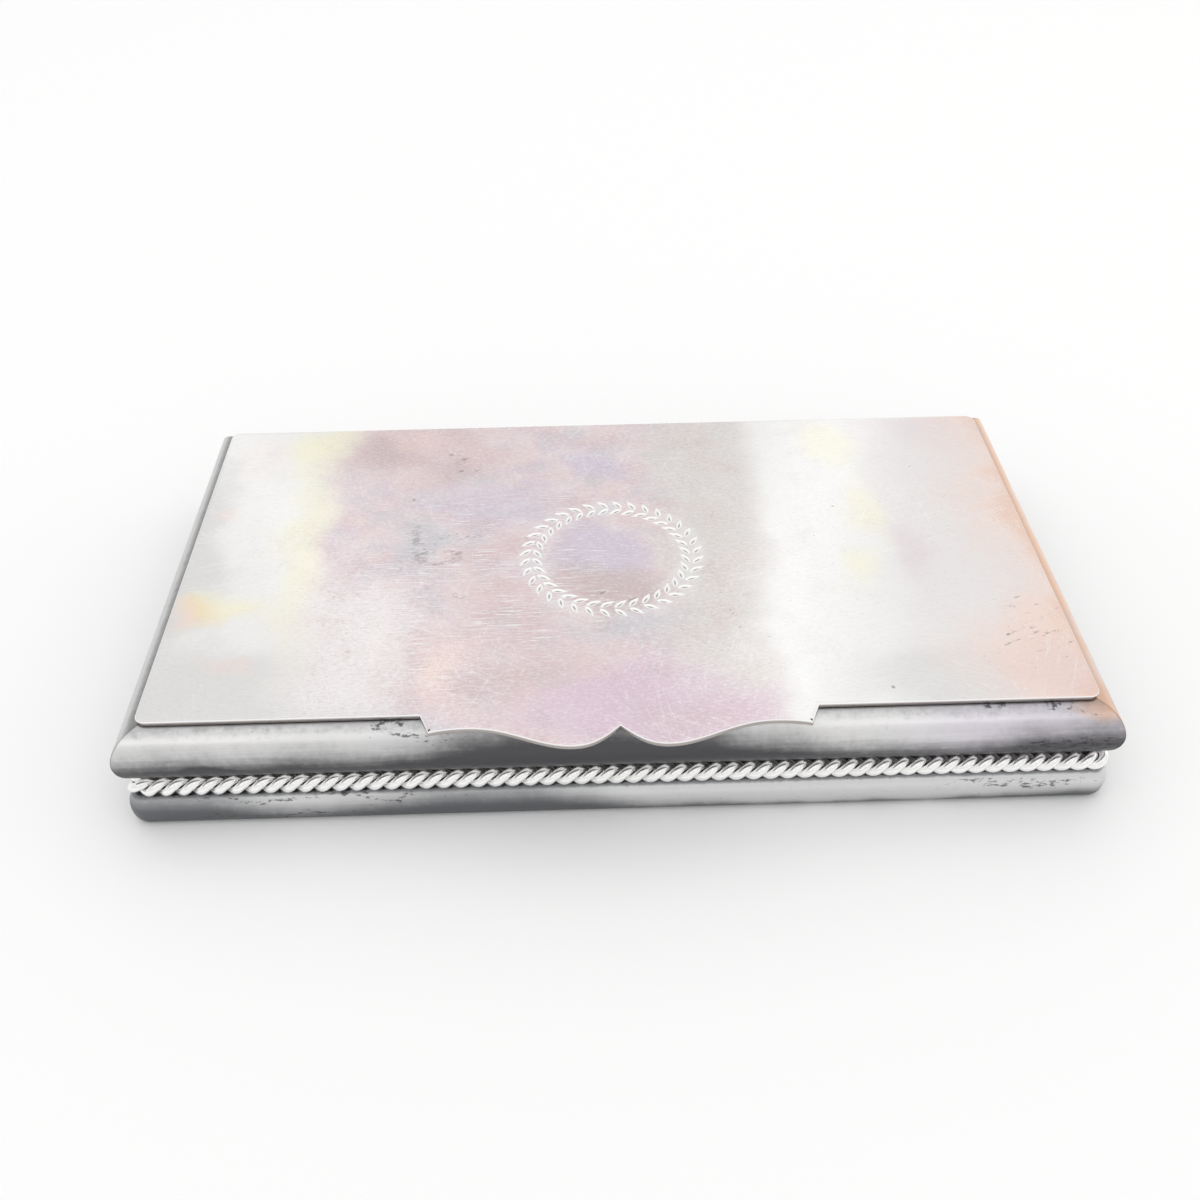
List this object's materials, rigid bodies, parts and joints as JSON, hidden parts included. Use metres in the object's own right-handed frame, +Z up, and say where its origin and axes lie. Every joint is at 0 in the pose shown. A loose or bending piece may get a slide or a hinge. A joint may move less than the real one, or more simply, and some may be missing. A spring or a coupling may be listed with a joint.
{
  "type": "hinged silver box",
  "caption": "Shallow rectangular silver box with a flat hinged lid, shaped thumb tab, convex mitred moulding, twisted rope border, foot band and a divided cedar lining.",
  "frame": {"origin": "centre of the flat underside of the base plate, on the surface that the box stands on", "axes": "+X along the box's length to the right, +Y from the thumb tab at the front to the hinge at the back, +Z up"},
  "size_m": [0.1738, 0.1014, 0.0218],
  "materials": {
    "silver_lid": "worn polished silver with light scratches and a warm bloom of tarnish",
    "silver_body": "polished silver with dark tarnish in the hollows",
    "silver_rope": "twisted silver wire, bright on the crowns and dark between the strands",
    "silver_base": "satin silver sheet with fine rubbing marks",
    "silver_hinge": "silver tube and wire, filed and lightly tarnished",
    "cedar": "bare planed cedar"
  },
  "bodies": {
    "box": {"base_plate": "silver_base", "body_wall": "silver_body", "foot_band": "silver_body", "moulding_front": "silver_body", "moulding_back": "silver_body", "moulding_left": "silver_body", "moulding_right": "silver_body", "rope_strand_a": "silver_rope", "rope_strand_b": "silver_rope", "lining_floor": "cedar", "lining_front": "cedar", "lining_back": "cedar", "lining_left": "cedar", "lining_right": "cedar", "divider": "cedar", "hinge_channel": "silver_hinge", "hinge_pin": "silver_hinge", "hinge_knuckle_body_1": "silver_hinge", "hinge_knuckle_body_2": "silver_hinge", "hinge_knuckle_body_3": "silver_hinge", "hinge_knuckle_body_4": "silver_hinge", "hinge_knuckle_body_5": "silver_hinge"},
    "lid": {"lid_plate": "silver_lid", "lid_rim": "silver_hinge", "hinge_bearer": "silver_hinge", "hinge_knuckle_lid_1": "silver_hinge", "hinge_knuckle_lid_2": "silver_hinge", "hinge_knuckle_lid_3": "silver_hinge", "hinge_knuckle_lid_4": "silver_hinge"}
  },
  "joints": [
    {"name": "lid_hinge", "type": "hinge", "parent": "box", "child": "lid", "pos_m": [0, 0.0452, 0.01926], "axis": [-1, 0, 0], "range_deg": [0, 105]}
  ]
}
